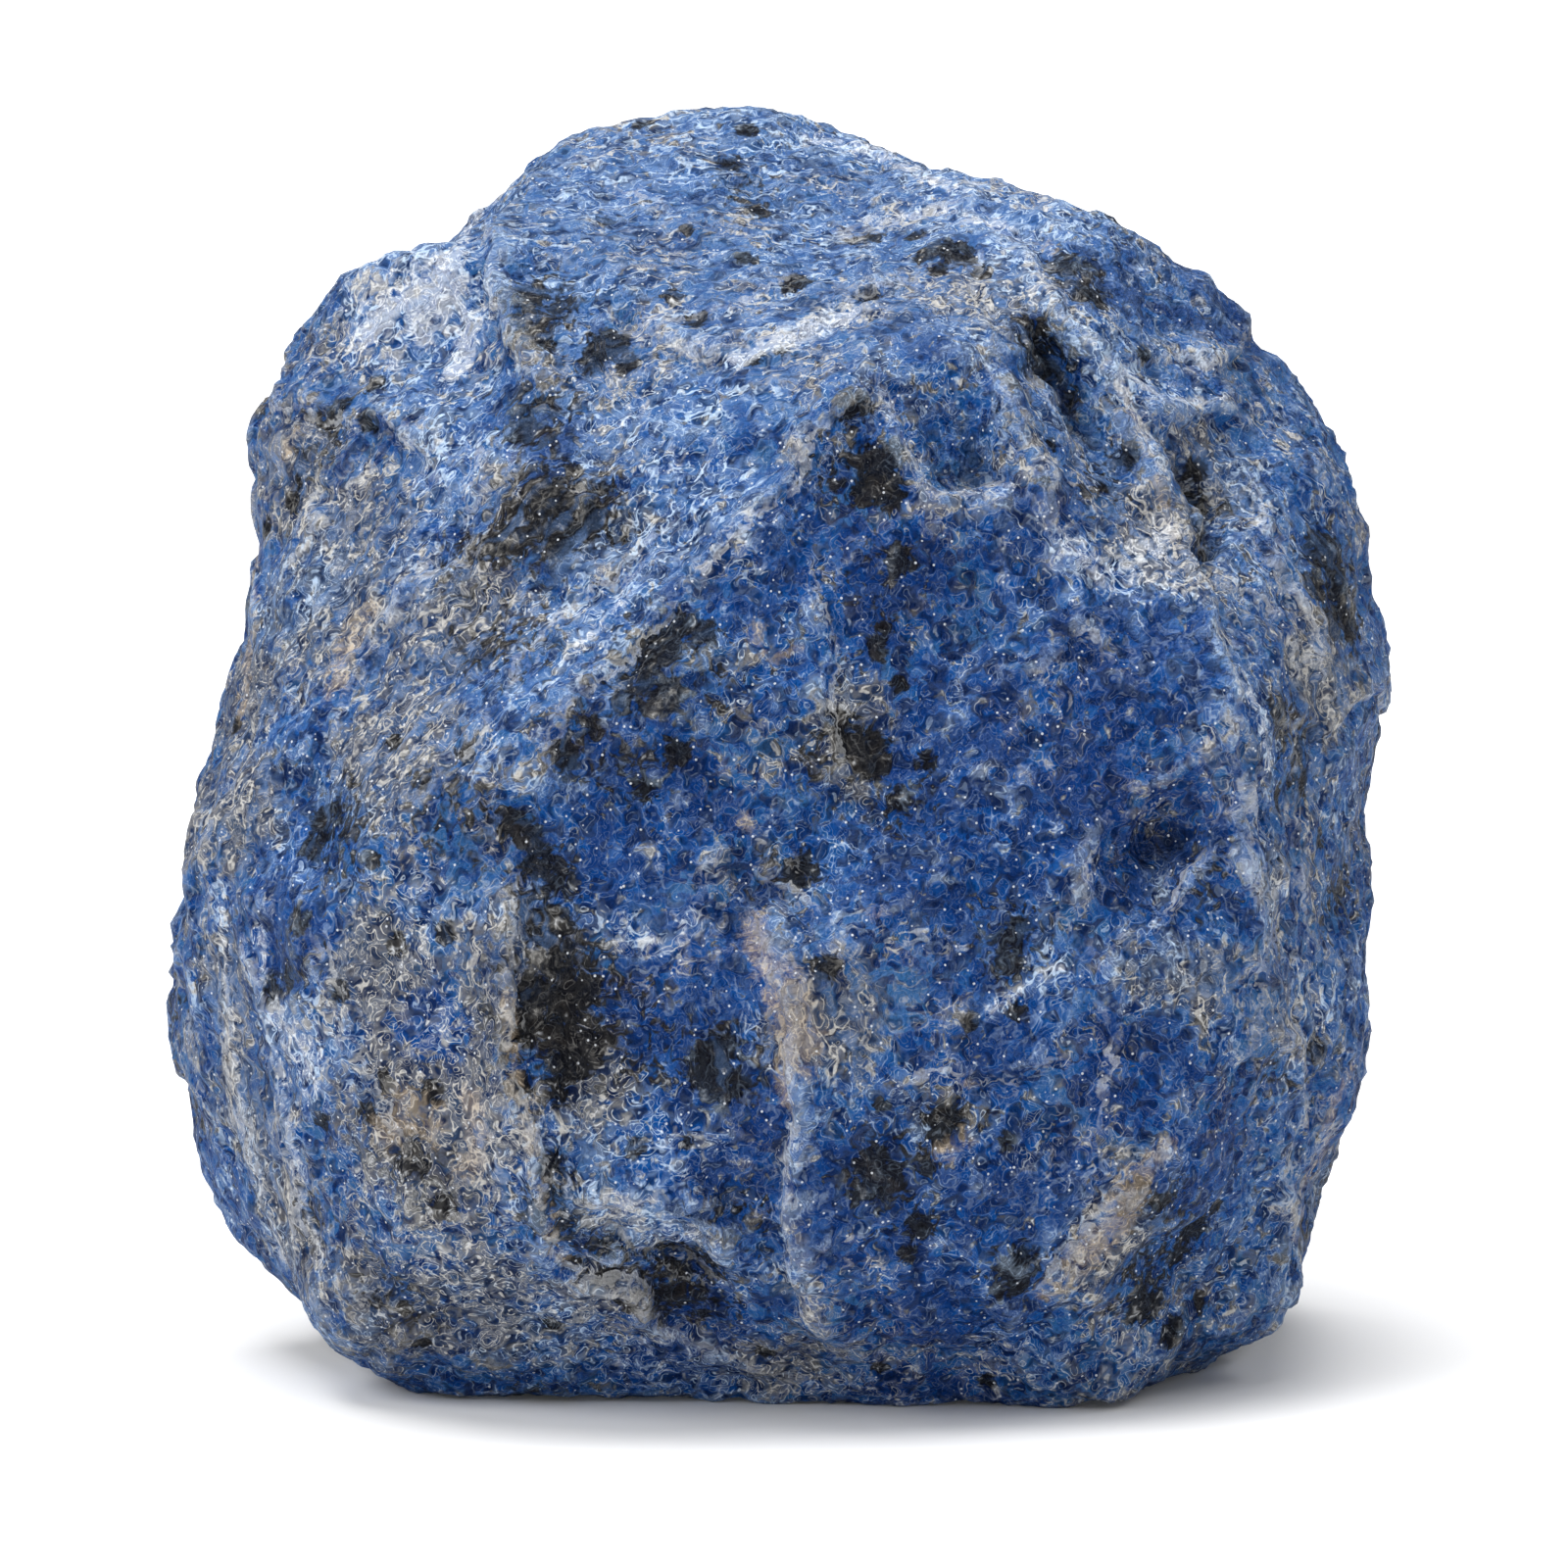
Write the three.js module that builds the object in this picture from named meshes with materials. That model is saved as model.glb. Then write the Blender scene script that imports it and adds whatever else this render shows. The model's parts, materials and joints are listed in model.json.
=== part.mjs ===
// Rough dumortierite: one broken lump of blue stone that fills a palm and stands on a small flat spot.
// Millimetres, +Z up, front towards -Y. The origin is on the ground, under the middle of the stone.
//
// The lump is first shaped as it is seen from the front, in a frame that leans back a little:
// x runs right, y up and z out towards the viewer, all measured from the middle of the stone.
// It is then stood upright and flattened where it meets the ground.

import * as THREE from "three";
import { mergeVertices } from "three/addons/utils/BufferGeometryUtils.js";
import { ImprovedNoise } from "three/addons/math/ImprovedNoise.js";

// How the lump leans and stands: its middle is this far above the ground.
const LEAN = THREE.MathUtils.degToRad(10);
const MIDDLE_ABOVE_GROUND = 33;

// The plain lump inside its outline: how far it bulges, and how square its shoulders are (2 is an ellipse).
const FRONT_BULGE = 27;
const BACK_BULGE = 27;
const SHOULDERS = 2.8;

// The mesh: how finely the ball is divided, how much finer it is at the front than at the back,
// and how near a crest a corner has to lie to be moved onto it.
const BALL_DIVISIONS = 21;
const CROWDING_TO_FRONT = 0.22;
const SNAP_TO_CREST = 0.8;

// How round the edges between faces are, how steeply a crest falls away (1 is straight), the share of a
// crest at each end over which it rises, and the share of the outline's reach over which relief fades.
const FACET_ROUNDING = 0.55;
const CREST_STEEPNESS = 1.4;
const CREST_ENDS = 0.18;
const RELIEF_FADES = { from: 0.84, to: 0.99 };

// Bumps of the broken surface: how long and how high.
const BROAD_BUMPS = { length: 11, height: 0.55 };
const SMALL_BUMPS = { length: 4.2, height: 0.3 };

const OUTLINE = [
  [33.8, 6.2],
  [32.6, 12.2],
  [31.3, 18.2],
  [28.1, 23.6],
  [23.8, 28.4],
  [18.2, 31.2],
  [12.3, 33.5],
  [6.5, 36],
  [0.3, 37.1],
  [-6.2, 37],
  [-12.8, 35.7],
  [-17.8, 31.5],
  [-21.4, 28.5],
  [-25.1, 27.7],
  [-27.8, 23.4],
  [-29.6, 17.4],
  [-29.9, 11.2],
  [-32.6, 0.3],
  [-33.8, -5.8],
  [-34.4, -12.3],
  [-33.7, -19.4],
  [-30.8, -25.8],
  [-26.4, -31.5],
  [-20, -36.4],
  [-8, -37.6],
  [9, -37.6],
  [19, -37.8],
  [23.9, -33.4],
  [28.2, -30.6],
  [30.1, -24.9],
  [32.7, -18.5],
  [32.8, -11.6],
  [33, 0],
].map(([x, y]) => new THREE.Vector3(x, y, 0));

// Flat broken faces. turn is how far a face is turned to the right of the viewer, tip how far it looks up,
// both in degrees, and away is its distance from the middle.
const FACETS = [
  { name: "top cap", turn: -2, tip: 60, away: 30 },
  { name: "upper left face", turn: -21.2, tip: 28.7, away: 26.4 },
  { name: "left shoulder", turn: -51, tip: 20, away: 29.6 },
  { name: "front face", turn: 6, tip: 8, away: 25 },
  { name: "foot of the front", turn: 3, tip: -24, away: 31.5 },
  { name: "lower left block", turn: -20.6, tip: -3, away: 31 },
  { name: "lower left side", turn: -60, tip: -14, away: 34.8 },
  { name: "upper right lobe", turn: 40, tip: 30, away: 30.6 },
  { name: "right side", turn: 56, tip: 2, away: 33 },
  { name: "lower right corner", turn: 50, tip: -28, away: 36.6 },
  { name: "back right face", turn: 141, tip: 8, away: 26.5 },
  { name: "back left face", turn: -138, tip: -6, away: 27 },
  { name: "back slope", turn: 176, tip: 38, away: 28.6 },
  { name: "back top right", turn: 128, tip: 48, away: 31.5 },
  { name: "back foot", turn: -172, tip: -40, away: 30.5 },
  { name: "underside", turn: 180, tip: -66, away: 34 },
  { name: "under the front foot", turn: -6, tip: -52, away: 34.8 },
  { name: "back left of the underside", turn: -120, tip: -55, away: 38.4 },
  { name: "back right of the underside", turn: 120, tip: -55, away: 39.4 },
];

// Lines that stand out of the stone, or are cut into it where height is below zero. Each falls away over
// its reach to the left and to the right of the way that it runs, so a ledge has one short reach.
const FRONT_CRESTS = [
  {
    name: "main ridge",
    through: [[6, 23], [4.6, 19.6], [0.3, 15], [-5.1, 9.9], [-11, 3.4], [-13.7, -0.3], [-14.3, -3.6]],
    height: 1,
    left: 7,
    right: 8,
  },
  {
    name: "edge of the lower left block",
    through: [[-14.2, -3.6], [-14.8, -12.7], [-13.1, -22.4], [-11.6, -27.2], [-8.3, -28.1], [-3.2, -32.6]],
    height: 2.4,
    left: 2.6,
    right: 12,
  },
  {
    name: "edge of the lower right slab",
    through: [[-1.2, -7.9], [0.3, -12.2], [0.7, -18], [0.9, -28.8], [2.6, -31.8], [7.3, -34.7]],
    height: 2.2,
    left: 14,
    right: 2.6,
  },
  {
    name: "long right ridge",
    through: [[11.1, 31.5], [13.9, 26.9], [18.8, 20.9], [23.9, 8.9], [25.4, 2], [25.8, -6.3], [26.9, -15]],
    height: 2.2,
    left: 4.5,
    right: 5,
  },
  {
    name: "inner right ridge",
    through: [[12.1, 22.1], [13.8, 17.8], [15.9, 12], [17.1, 6.7]],
    height: 1.3,
    left: 3,
    right: 3.5,
  },
  {
    name: "valley between the right ridges",
    through: [[11.6, 28.4], [13, 25.7], [14.4, 22.8], [16.8, 19.7], [19.3, 15.6]],
    height: -1.7,
    left: 3,
    right: 2.6,
  },
  {
    name: "rim of the scoop under the peak",
    through: [[6.2, 21], [8.1, 15.7], [9.4, 14.1], [11.1, 13.7], [12.6, 14.6], [13.6, 17]],
    height: 0.8,
    left: 2.2,
    right: 4,
  },
  {
    name: "furrow behind the long right ridge",
    through: [[21.4, 19.8], [22.6, 17.1], [23.6, 14.7], [24.4, 11.8]],
    height: -2.2,
    left: 3,
    right: 2.4,
  },
  {
    name: "ledge over that furrow",
    through: [[19.1, 21.2], [22.4, 20.5], [24.8, 20.9], [27.2, 19]],
    height: 1.1,
    left: 5,
    right: 2.4,
  },
  {
    name: "rim of the right scoop",
    through: [[17.1, -8], [16.8, -4.9], [18.6, -3.4], [22.2, -0.4]],
    height: 0.8,
    left: 4,
    right: 2.4,
  },
  {
    name: "small step",
    through: [[12.2, 3.6], [14.6, 6.1], [16.9, 7.7], [18.4, 5]],
    height: 0.9,
    left: 2.2,
    right: 5,
  },
  {
    name: "shelf at the foot",
    through: [[-11.2, -23.7], [-8.3, -25.1], [-5.1, -25.7], [-2.6, -28]],
    height: 1.7,
    left: 4,
    right: 2.6,
  },
  {
    name: "furrow of the pale streak",
    through: [[13.2, -30.6], [16.5, -26.8], [19, -24], [21.6, -20.2]],
    height: -0.9,
    left: 2.4,
    right: 2.4,
  },
  {
    name: "left corner",
    through: [[-32, -4.6], [-30.4, -7.7], [-29.1, -12.1], [-27.6, -17], [-25.6, -25], [-23.2, -30.6]],
    height: 1.5,
    left: 5,
    right: 3,
  },
  {
    name: "left edge of the cap",
    through: [[-16.6, 30.8], [-15.9, 26.6], [-15.1, 23.3], [-12.6, 20]],
    height: 1.1,
    left: 5,
    right: 3,
  },
  {
    name: "front edge of the cap",
    through: [[-8.4, 24.4], [-4.1, 23.5], [0.3, 23.8], [5.6, 23.6]],
    height: 0.6,
    left: 4,
    right: 3,
  },
  {
    name: "right edge of the cap",
    through: [[5.6, 23.4], [7.3, 26.2], [9.4, 28], [11.4, 29.4]],
    height: 0.8,
    left: 4,
    right: 2.5,
  },
];

const BACK_CRESTS = [
  {
    name: "ridge down the back",
    through: [[-8, 27], [-3, 14], [2, 2], [0, -14], [5, -26]],
    height: 2.2,
    left: 9,
    right: 11,
  },
  {
    name: "long ledge of the back",
    through: [[28, 12], [19, 8], [12, 1], [9, -9], [13, -20]],
    height: 2.4,
    left: 2.6,
    right: 13,
  },
  {
    name: "short ledge of the back",
    through: [[-28, -4], [-20, -8], [-12, -6], [-7, -16]],
    height: 2,
    left: 10,
    right: 2.6,
  },
  {
    name: "furrow of the back",
    through: [[-26, 14], [-18, 9], [-12, 12], [-5, 22]],
    height: -1.8,
    left: 4,
    right: 4,
  },
];

// Round dents: where they are, how wide and tall, how far they lean to the left in degrees, and how deep.
const FRONT_HOLLOWS = [
  { name: "scoop under the peak", at: [10, 18.2], wide: 3.4, tall: 4.8, leans: 8, depth: 1.9 },
  { name: "dark pit", at: [14.4, 22.4], wide: 2.1, tall: 3.1, leans: 25, depth: 2.8 },
  { name: "right scoop", at: [20.8, -5.4], wide: 2.8, tall: 6, leans: -38, depth: 2 },
  { name: "hollow under the shelf", at: [-6.4, -28.4], wide: 3.2, tall: 2, leans: 20, depth: 1.8 },
  { name: "saddle of the left shoulder", at: [-19.6, 25], wide: 4.2, tall: 6.5, leans: 12, depth: 1.7 },
  { name: "dip in the lower left block", at: [-20, -13], wide: 5, tall: 9, leans: 0, depth: 0.9 },
  { name: "dip in the upper left face", at: [-18, 6], wide: 8, tall: 5, leans: 30, depth: 0.9 },
  { name: "dip beside the slab", at: [-8, -14], wide: 5, tall: 9, leans: 6, depth: 1 },
];

const BACK_HOLLOWS = [
  { name: "big chipped hollow", at: [16, -12], wide: 8, tall: 10, leans: 20, depth: 2.4 },
  { name: "upper chipped hollow", at: [8, 18], wide: 9, tall: 6, leans: -30, depth: 1.8 },
  { name: "side chipped hollow", at: [-19, 0], wide: 7, tall: 9, leans: -15, depth: 1.8 },
  { name: "low chipped hollow", at: [-10, -22], wide: 7, tall: 5, leans: 10, depth: 1.6 },
];

// Steps along the outline, and along each crest.
const OUTLINE_STEPS = 720;
const CREST_STEPS = 60;

const noise = new ImprovedNoise();

function bumps(point, { length, height }) {
  return height * 2 * noise.noise(point.x / length, point.y / length, point.z / length);
}

// Distance from the middle to the outline, for each way round it.
function outlineReach() {
  const curve = new THREE.CatmullRomCurve3(OUTLINE, true, "centripetal");
  const samples = curve
    .getPoints(OUTLINE_STEPS)
    .slice(1)
    .map((p) => ({ angle: Math.atan2(p.y, p.x), reach: Math.hypot(p.x, p.y) }))
    .sort((a, b) => a.angle - b.angle);
  const first = samples[0];
  const last = samples[samples.length - 1];
  samples.unshift({ angle: last.angle - 2 * Math.PI, reach: last.reach });
  samples.push({ angle: first.angle + 2 * Math.PI, reach: first.reach });
  return (angle) => {
    const next = samples.findIndex((s) => s.angle > angle);
    const [a, b] = [samples[next - 1], samples[next]];
    return THREE.MathUtils.mapLinear(angle, a.angle, b.angle, a.reach, b.reach);
  };
}

const reachOfOutline = outlineReach();

function facetNormal({ turn, tip }) {
  const [t, p] = [THREE.MathUtils.degToRad(turn), THREE.MathUtils.degToRad(tip)];
  return new THREE.Vector3(Math.sin(t) * Math.cos(p), Math.sin(p), Math.cos(t) * Math.cos(p));
}

const FACET_PLANES = FACETS.map((facet) => ({ normal: facetNormal(facet), away: facet.away }));

// Distance from the middle to the plain lump, along a direction.
function lumpReach(direction) {
  const sideways = Math.hypot(direction.x, direction.y);
  const reach = reachOfOutline(Math.atan2(direction.y, direction.x));
  const bulge = direction.z > 0 ? FRONT_BULGE : BACK_BULGE;
  const sum = (sideways / reach) ** SHOULDERS + (Math.abs(direction.z) / bulge) ** SHOULDERS;
  return sum ** (-1 / SHOULDERS);
}

// The lump cut by its facets, with their edges a little rounded.
function bodyPoint(direction) {
  const reaches = [lumpReach(direction)];
  for (const { normal, away } of FACET_PLANES) {
    const facing = direction.dot(normal);
    if (facing > 0.05) reaches.push(away / facing);
  }
  const nearest = Math.min(...reaches);
  const blend = reaches.reduce((sum, r) => sum + Math.exp((nearest - r) / FACET_ROUNDING), 0);
  return direction.clone().multiplyScalar(nearest - FACET_ROUNDING * Math.log(blend));
}

const withLine = (crest) => {
  const points = crest.through.map(([x, y]) => new THREE.Vector2(x, y));
  return { ...crest, line: new THREE.SplineCurve(points).getPoints(CREST_STEPS) };
};

const FRONT = { crests: FRONT_CRESTS.map(withLine), hollows: FRONT_HOLLOWS };
const BACK = { crests: BACK_CRESTS.map(withLine), hollows: BACK_HOLLOWS };

// Nearest place on a crest's line: how far it is, on which side, and how far along.
function nearestOnLine(point, line) {
  let best = { distance: Infinity };
  for (let i = 1; i < line.length; i++) {
    const [a, b] = [line[i - 1], line[i]];
    const along = new THREE.Vector2().subVectors(b, a);
    const from = new THREE.Vector2(point.x - a.x, point.y - a.y);
    const share = THREE.MathUtils.clamp(from.dot(along) / along.lengthSq(), 0, 1);
    const place = a.clone().addScaledVector(along, share);
    const distance = Math.hypot(point.x - place.x, point.y - place.y);
    if (distance < best.distance) {
      const onLeft = along.x * from.y - along.y * from.x > 0;
      best = { distance, place, onLeft, share: (i - 1 + share) / (line.length - 1) };
    }
  }
  return best;
}

function crestHeight(point, crest) {
  const near = nearestOnLine(point, crest.line);
  const reach = near.onLeft ? crest.left : crest.right;
  const fall = Math.max(0, 1 - near.distance / reach) ** CREST_STEEPNESS;
  const ends = THREE.MathUtils.smoothstep(Math.min(near.share, 1 - near.share), 0, CREST_ENDS);
  return crest.height * fall * ends;
}

function hollowDepth(point, { at, wide, tall, leans, depth }) {
  const from = new THREE.Vector2(point.x - at[0], point.y - at[1]);
  from.rotateAround(new THREE.Vector2(), THREE.MathUtils.degToRad(-leans));
  const out = Math.hypot(from.x / wide, from.y / tall);
  return out < 1 ? depth * (1 - out * out) ** 2 : 0;
}

// Crests and hollows stand along the line of sight, and fade away towards the outline.
function addRelief(point) {
  const spread = Math.hypot(point.x, point.y) / reachOfOutline(Math.atan2(point.y, point.x));
  const shown = 1 - THREE.MathUtils.smoothstep(spread, RELIEF_FADES.from, RELIEF_FADES.to);
  if (shown === 0) return;
  const { crests, hollows } = point.z > 0 ? FRONT : BACK;
  let relief = 0;
  for (const crest of crests) relief += crestHeight(point, crest);
  for (const hollow of hollows) relief -= hollowDepth(point, hollow);
  point.z += Math.sign(point.z) * relief * shown;
}

// A place on the body, moved sideways onto a crest that it almost meets, so that crests stay sharp.
function ontoCrest(direction) {
  const point = bodyPoint(direction);
  const { crests } = point.z > 0 ? FRONT : BACK;
  for (const { line } of crests) {
    const { distance, place, share } = nearestOnLine(point, line);
    if (distance < SNAP_TO_CREST && share > 0 && share < 1)
      return bodyPoint(new THREE.Vector3(place.x, place.y, point.z).normalize());
  }
  return point;
}

function stonePoint(direction) {
  const crowded = direction.clone();
  crowded.z += CROWDING_TO_FRONT;
  const point = ontoCrest(crowded.normalize());
  const outwards = point.clone().normalize();
  const rough = bumps(point, BROAD_BUMPS) + bumps(point, SMALL_BUMPS);
  addRelief(point);
  return point.addScaledVector(outwards, rough);
}

// From the leaning frame to the upright one, and flat on the ground.
function standUp(point) {
  const { x, y, z } = point;
  const back = y * Math.sin(LEAN) - z * Math.cos(LEAN);
  const up = y * Math.cos(LEAN) + z * Math.sin(LEAN) + MIDDLE_ABOVE_GROUND;
  return point.set(x, back, Math.max(0, up));
}

function stoneGeometry() {
  const ball = new THREE.IcosahedronGeometry(1, BALL_DIVISIONS);
  ball.deleteAttribute("normal");
  ball.deleteAttribute("uv");
  const geometry = mergeVertices(ball, 1e-4);
  const positions = geometry.getAttribute("position");
  for (let i = 0; i < positions.count; i++) {
    const direction = new THREE.Vector3().fromBufferAttribute(positions, i).normalize();
    positions.setXYZ(i, ...standUp(stonePoint(direction)));
  }
  geometry.computeBoundingBox();
  const middle = geometry.boundingBox.getCenter(new THREE.Vector3());
  geometry.translate(-middle.x, -middle.y, 0);
  geometry.computeVertexNormals();
  return geometry;
}

const stone = new THREE.Mesh(
  stoneGeometry(),
  new THREE.MeshStandardMaterial({ color: 0x3f67ab, roughness: 0.55, metalness: 0 }),
);
stone.name = "stone";

const specimen = new THREE.Group();
specimen.add(stone);

export default specimen;
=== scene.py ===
# Rough dumortierite: a palm-size lump of blue stone, standing on a plain white floor in soft studio light.

import json
import math
import random

import bpy
import numpy as np
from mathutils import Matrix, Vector, kdtree, noise

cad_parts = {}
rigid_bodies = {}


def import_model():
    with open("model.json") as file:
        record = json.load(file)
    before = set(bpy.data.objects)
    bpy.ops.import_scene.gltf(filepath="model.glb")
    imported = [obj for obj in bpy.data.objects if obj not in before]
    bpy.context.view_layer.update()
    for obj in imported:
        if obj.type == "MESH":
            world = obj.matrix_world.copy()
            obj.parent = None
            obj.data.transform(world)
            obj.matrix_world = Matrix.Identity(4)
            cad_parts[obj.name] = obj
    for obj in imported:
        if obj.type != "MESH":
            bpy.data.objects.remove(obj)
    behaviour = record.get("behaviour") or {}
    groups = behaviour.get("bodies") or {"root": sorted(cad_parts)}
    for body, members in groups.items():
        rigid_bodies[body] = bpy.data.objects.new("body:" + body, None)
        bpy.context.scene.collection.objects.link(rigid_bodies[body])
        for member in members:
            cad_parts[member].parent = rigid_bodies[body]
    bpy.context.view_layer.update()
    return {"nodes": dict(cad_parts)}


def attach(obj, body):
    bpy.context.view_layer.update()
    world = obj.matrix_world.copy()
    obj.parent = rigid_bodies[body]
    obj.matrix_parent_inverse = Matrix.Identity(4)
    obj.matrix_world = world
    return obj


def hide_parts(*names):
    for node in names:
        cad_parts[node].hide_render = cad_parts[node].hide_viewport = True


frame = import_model()


# The lump is one piece of quartz full of dumortierite, hammered out of the rock and left as it broke.
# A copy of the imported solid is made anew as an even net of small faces, and its facets are softened,
# so that the sections below can cut the finer ridges, chips and pits into it.
NET_SIDE = 0.00047
WELD = 0.0001
SOFTENING_PASSES = 3

bpy.ops.object.select_all(action="DESELECT")
solid = frame["nodes"]["stone"]
solid.select_set(True)
bpy.context.view_layer.objects.active = solid
bpy.ops.object.duplicate()
stone = bpy.context.active_object
stone.name = "stone_surface"
bpy.ops.object.parent_clear(type="CLEAR_KEEP_TRANSFORM")
for label in list(stone.keys()):
    del stone[label]

bpy.ops.object.mode_set(mode="EDIT")
bpy.ops.mesh.select_all(action="SELECT")
bpy.ops.mesh.remove_doubles(threshold=WELD)
bpy.ops.object.mode_set(mode="OBJECT")


def finish_with(kind, **settings):
    modifier = stone.modifiers.new(kind.lower(), kind)
    for name, value in settings.items():
        setattr(modifier, name, value)
    bpy.ops.object.modifier_apply(modifier=modifier.name)


finish_with("REMESH", mode="VOXEL", voxel_size=NET_SIDE, use_smooth_shade=True)
finish_with("SMOOTH", factor=0.5, iterations=SOFTENING_PASSES)


def places():
    """Every corner of the net."""
    flat = np.empty(len(stone.data.vertices) * 3, np.float32)
    stone.data.vertices.foreach_get("co", flat)
    return flat.reshape(-1, 3).astype(float)


def normals():
    flat = np.empty(len(stone.data.vertices) * 3, np.float32)
    stone.data.vertices.foreach_get("normal", flat)
    return flat.reshape(-1, 3).astype(float)


def move_to(co):
    """Puts the corners in new places, none of them below the floor."""
    co[:, 2] = np.maximum(co[:, 2], 0)
    stone.data.vertices.foreach_set("co", co.astype(np.float32).ravel())
    stone.data.update()


# Hammering and years of knocks left small flat faces with crisp edges, and low steps where flakes came
# off. Both are cut all over: a face is shaved off by a tilted plane, and a step sinks one side of a line.
SHAVED_FACES = 240
SHAVE_DEPTH = (0.0002, 0.0007)
SHAVE_TILT = 0.14
SHAVE_REACH = 0.0075
DEEPEST_SHAVE = 0.0009
FLAKE_STEPS = 260
FLAKE_HEIGHT = (0.00015, 0.00045)
FLAKE_REACH = (0.002, 0.0055)
MOST_LOST = 0.0006
LEFT_PROUD = 0.0003

chance = random.Random(11)
co = places()
out = normals()


def between(low, high):
    return low + (high - low) * chance.random()


def any_direction():
    return np.array([chance.gauss(0, 1) for _ in range(3)])


whole = co.copy()
for _ in range(SHAVED_FACES):
    at = chance.randrange(len(co))
    lean = any_direction()
    lean -= (lean @ out[at]) * out[at]
    facing = out[at] + SHAVE_TILT * chance.random() * lean / np.linalg.norm(lean)
    facing /= np.linalg.norm(facing)
    above = np.clip((co - co[at] + out[at] * between(*SHAVE_DEPTH)) @ facing, 0, DEEPEST_SHAVE)
    fade = np.clip(1 - (np.linalg.norm(co - co[at], axis=1) / SHAVE_REACH) ** 4, 0, 1)
    co -= facing * (above * fade * (out @ facing > 0.6))[:, None]
for _ in range(FLAKE_STEPS):
    at = chance.randrange(len(co))
    across = any_direction()
    across -= (across @ out[at]) * out[at]
    across /= np.linalg.norm(across)
    away = co - co[at]
    reach = between(*FLAKE_REACH)
    bend = 0.25 * reach * np.sin(away @ np.cross(across, out[at]) / reach * 2.5)
    sunk = np.clip(1 - np.linalg.norm(away, axis=1) / reach, 0, 1) ** 1.3 * (away @ across > bend)
    co -= out * (between(*FLAKE_HEIGHT) * sunk)[:, None]
lost = co - whole
lost *= np.minimum(1, MOST_LOST / np.maximum(np.linalg.norm(lost, axis=1), 1e-9))[:, None]
move_to(whole + lost + LEFT_PROUD * out)


# Its skin is sugary and a little wavy, as grainy rock breaks. Blender's own noise textures press it in
# and out: long waves, blunt chips with creases between them, then lumps and single grains.
def press(kind, size, height, **settings):
    texture = bpy.data.textures.new("press", kind)
    texture.noise_scale = size
    for name, value in settings.items():
        setattr(texture, name, value)
    finish_with("DISPLACE", texture=texture, texture_coords="LOCAL", strength=height, mid_level=0.5)


press("CLOUDS", size=0.0060, height=0.0008, noise_depth=1, noise_type="HARD_NOISE")
press("VORONOI", size=0.0040, height=-0.0005, weight_1=-1, weight_2=1, noise_intensity=1.0)
press("CLOUDS", size=0.0022, height=0.0005, noise_depth=2, noise_type="HARD_NOISE")
press("CLOUDS", size=0.0009, height=0.0003, noise_depth=1)


# From the front the stone is read through the photograph's own frame of 1600 by 1600 pixels, in which
# the ridges and colours below are placed. The viewer looks down on the stone by ten degrees.
LOOK_DOWN = math.radians(10)
VIEWER_AWAY = 0.8
PIXELS_PER_METRE = 18000
PICTURE_SIDE = 1600
STONE_MIDDLE = Vector((0.00015, -0.00009, 0.033))
AIM_RIGHT, AIM_UP = 0.00028, -0.0009

to_right = Vector((1, 0, 0))
upwards = Vector((0, math.sin(LOOK_DOWN), math.cos(LOOK_DOWN)))
to_viewer = Vector((0, -math.cos(LOOK_DOWN), math.sin(LOOK_DOWN)))


def turned(vectors, degrees):
    """Vectors as someone sees them who has walked round the stone, to the right, by so many degrees."""
    cos, sin = math.cos(math.radians(degrees)), math.sin(math.radians(degrees))
    return vectors @ np.array([[cos, -sin, 0], [sin, cos, 0], [0, 0, 1]])


def in_picture(co, degrees=0):
    """Where each corner is in the photograph's frame, in pixels, or in the same frame seen from elsewhere."""
    away = turned(co - np.array(STONE_MIDDLE), degrees)
    nearer = VIEWER_AWAY / (VIEWER_AWAY - away @ np.array(to_viewer))
    right = (away @ np.array(to_right)) * nearer - AIM_RIGHT
    up = (away @ np.array(upwards)) * nearer - AIM_UP
    return np.stack([PICTURE_SIDE / 2 + right * PIXELS_PER_METRE, PICTURE_SIDE / 2 - up * PIXELS_PER_METRE], 1)


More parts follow.
